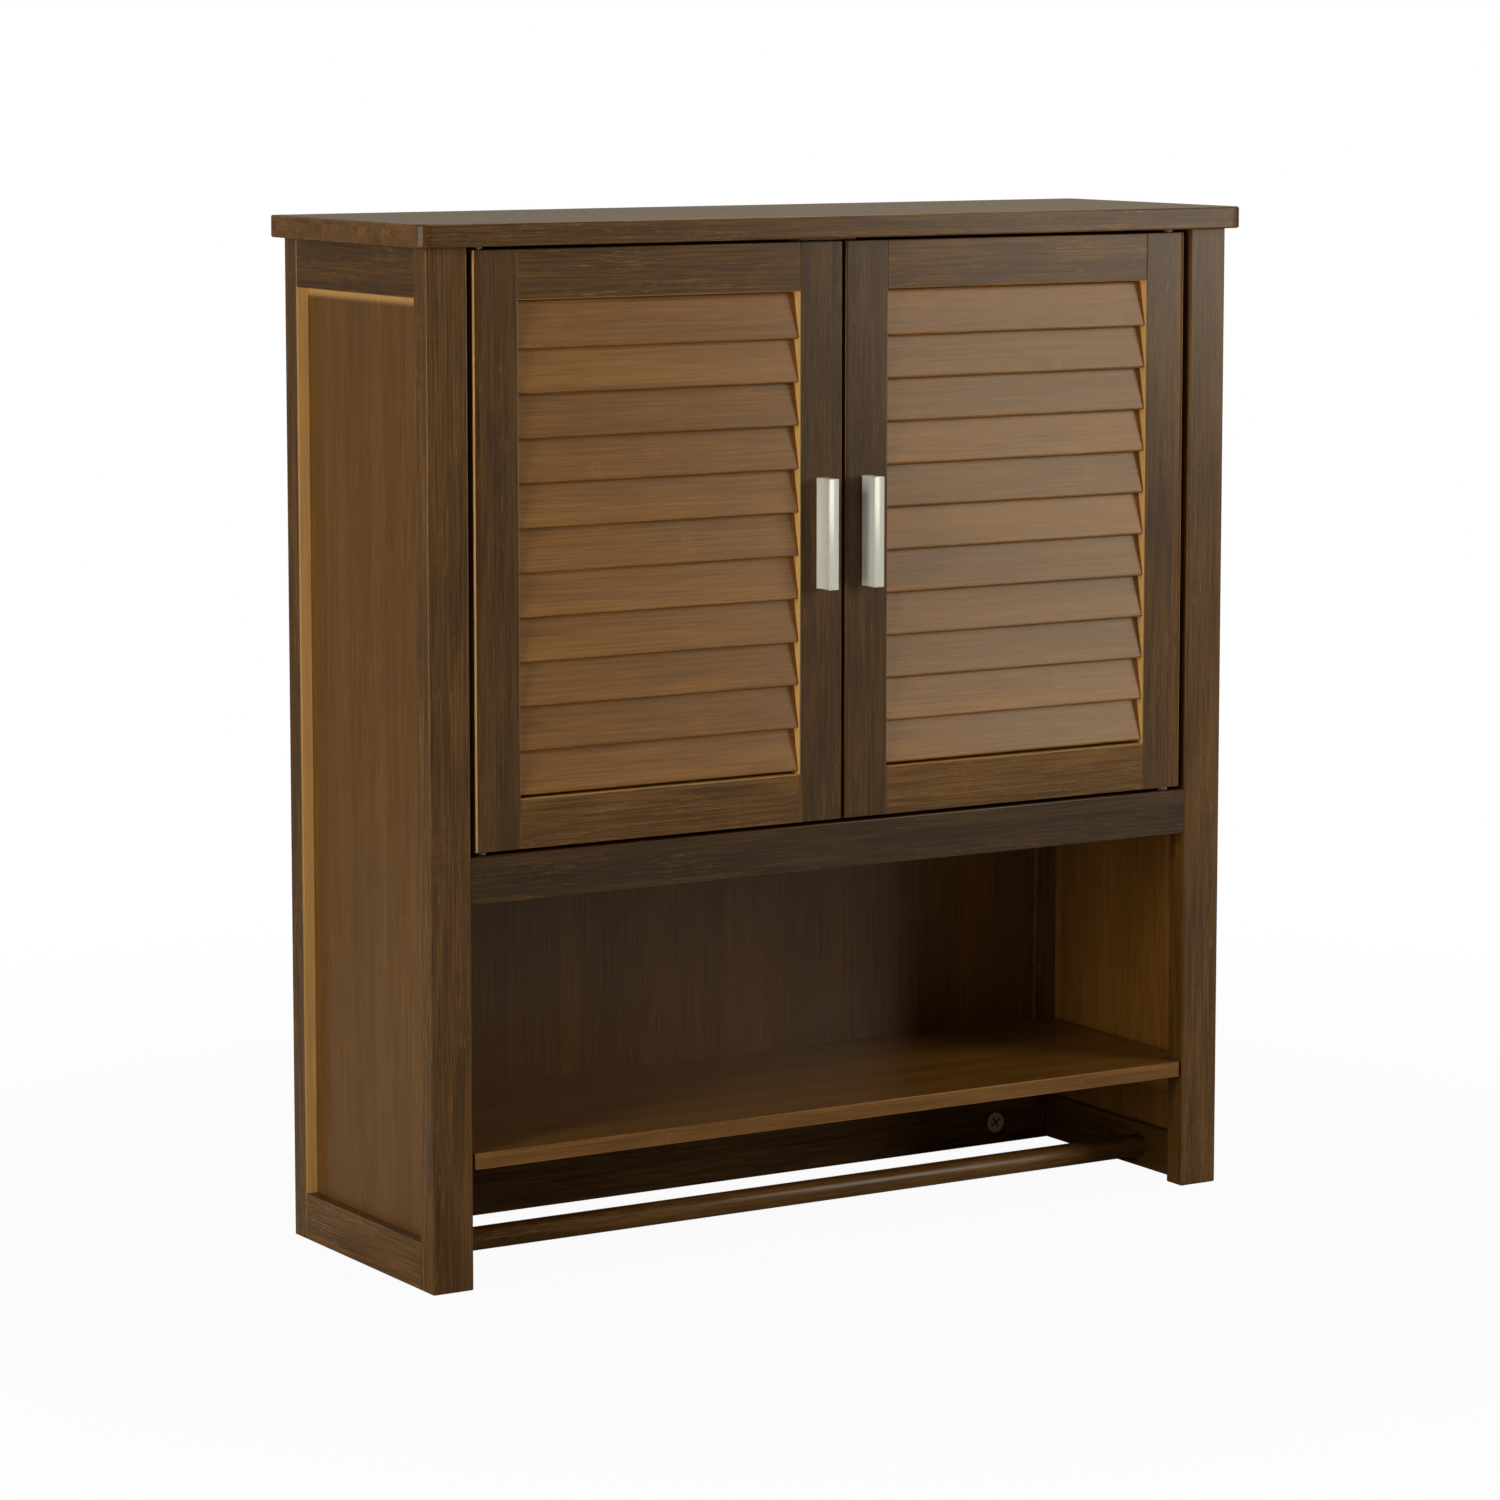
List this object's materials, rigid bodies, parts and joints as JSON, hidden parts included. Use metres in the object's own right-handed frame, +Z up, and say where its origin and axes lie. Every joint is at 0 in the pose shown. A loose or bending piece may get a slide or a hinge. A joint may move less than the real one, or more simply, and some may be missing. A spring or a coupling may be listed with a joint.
{
  "type": "bathroom wall cabinet",
  "caption": "Narrow bamboo cabinet with a pair of louvred pivot doors, an open shelf bay and a towel rod at the bottom.",
  "frame": {"origin": "floor level, in the middle of the overall width and depth", "axes": "+Z up, +X to the right seen from the front, -Y towards the front"},
  "size_m": [0.656, 0.2186, 0.7],
  "materials": {
    "dark_bamboo": "dark stained, satin lacquer",
    "brown_bamboo": "brown stained, satin lacquer",
    "aluminium": "satin",
    "steel": "satin",
    "nylon": "matte"
  },
  "bodies": {
    "carcass": {"top_board": "dark_bamboo", "left_front_post": "dark_bamboo", "left_rear_post": "dark_bamboo", "left_top_rail": "dark_bamboo", "left_bottom_rail": "dark_bamboo", "left_side_panel": "brown_bamboo", "right_front_post": "dark_bamboo", "right_rear_post": "dark_bamboo", "right_top_rail": "dark_bamboo", "right_bottom_rail": "dark_bamboo", "right_side_panel": "brown_bamboo", "apron_rail": "dark_bamboo", "rear_top_rail": "dark_bamboo", "rear_bottom_rail": "dark_bamboo", "towel_rod": "dark_bamboo", "cabinet_floor": "brown_bamboo", "inner_shelf": "brown_bamboo", "open_shelf": "brown_bamboo", "back_panel": "brown_bamboo", "shelf_battens": "brown_bamboo", "cam_fittings": "steel", "pivot_pins": "steel", "pivot_bushes": "nylon", "magnetic_catch": "nylon"},
    "left_door": {"left_hinge_stile": "dark_bamboo", "left_meeting_stile": "dark_bamboo", "left_door_top_rail": "dark_bamboo", "left_door_bottom_rail": "dark_bamboo", "left_slat_01": "brown_bamboo", "left_slat_02": "brown_bamboo", "left_slat_03": "brown_bamboo", "left_slat_04": "brown_bamboo", "left_slat_05": "brown_bamboo", "left_slat_06": "brown_bamboo", "left_slat_07": "brown_bamboo", "left_slat_08": "brown_bamboo", "left_slat_09": "brown_bamboo", "left_slat_10": "brown_bamboo", "left_slat_11": "brown_bamboo", "left_handle": "aluminium", "left_handle_screws": "steel", "left_strike_plate": "steel"},
    "right_door": {"right_hinge_stile": "dark_bamboo", "right_meeting_stile": "dark_bamboo", "right_door_top_rail": "dark_bamboo", "right_door_bottom_rail": "dark_bamboo", "right_slat_01": "brown_bamboo", "right_slat_02": "brown_bamboo", "right_slat_03": "brown_bamboo", "right_slat_04": "brown_bamboo", "right_slat_05": "brown_bamboo", "right_slat_06": "brown_bamboo", "right_slat_07": "brown_bamboo", "right_slat_08": "brown_bamboo", "right_slat_09": "brown_bamboo", "right_slat_10": "brown_bamboo", "right_slat_11": "brown_bamboo", "right_handle": "aluminium", "right_handle_screws": "steel", "right_strike_plate": "steel"}
  },
  "joints": [
    {"name": "left_door_hinge", "type": "hinge", "parent": "carcass", "child": "left_door", "pos_m": [-0.2754, -0.08325, 0.4], "axis": [0, 0, -1], "range_deg": [0, 95]},
    {"name": "right_door_hinge", "type": "hinge", "parent": "carcass", "child": "right_door", "pos_m": [0.2754, -0.08325, 0.4], "axis": [0, 0, 1], "range_deg": [0, 95]}
  ]
}
